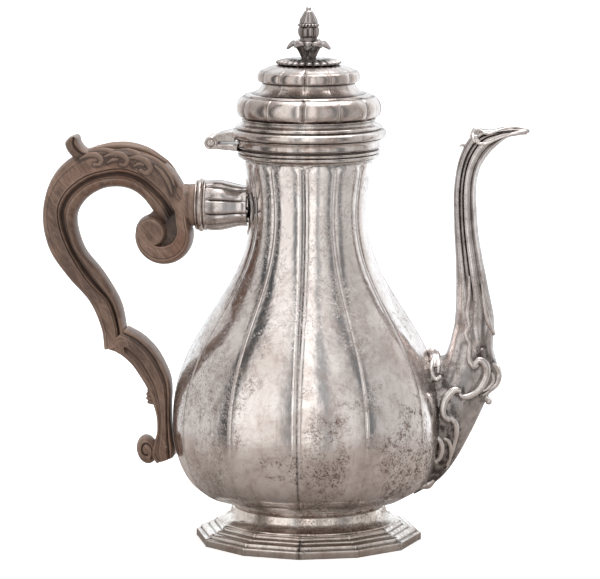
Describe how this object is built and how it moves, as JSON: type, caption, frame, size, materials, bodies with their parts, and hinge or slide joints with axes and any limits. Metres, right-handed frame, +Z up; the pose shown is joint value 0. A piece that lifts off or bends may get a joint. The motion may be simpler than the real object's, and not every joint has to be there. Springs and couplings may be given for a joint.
{
  "type": "coffee pot",
  "caption": "Pear-shaped panelled silver coffee pot on a stepped foot, with a hinged domed lid, tall swan-neck spout and carved wooden scroll handle.",
  "frame": {"origin": "centre of the foot's underside, on the surface that the pot stands on", "axes": "+Z up through the finial, +X towards the spout, -X towards the handle, Y across the pot"},
  "size_m": [0.2543, 0.143, 0.2777],
  "materials": {
    "silver": "old polished silver with soft tarnish",
    "cast_silver": "cast silver, darker in the recesses",
    "wood": "dark carved fruitwood, satin"
  },
  "bodies": {
    "pot": {"body_shell": "silver", "base_collar": "silver", "foot": "silver", "plinth_band": "silver", "neck_moulding": "silver", "rim_band": "silver", "spout_near_half": "cast_silver", "spout_far_half": "cast_silver", "socket_plate": "cast_silver", "upper_socket": "cast_silver", "socket_ring": "cast_silver", "socket_pin": "silver", "handle": "wood", "lower_lug": "silver", "lug_pin": "silver", "hinge_body_leaf": "silver", "hinge_pin": "silver"},
    "lid": {"hinge_lid_leaf": "silver", "lid_flange": "silver", "lid_bezel": "silver", "lid_lower_tier": "silver", "lid_upper_tier": "silver", "finial_rosette": "cast_silver", "finial_leaves": "cast_silver", "finial_bud": "cast_silver", "finial_stud": "silver", "finial_washer": "silver", "finial_nut": "silver"}
  },
  "joints": [
    {"name": "lid_hinge", "type": "hinge", "parent": "pot", "child": "lid", "pos_m": [-0.0502, 0, 0.2095], "axis": [0, -1, 0], "range_deg": [0, 105]}
  ]
}
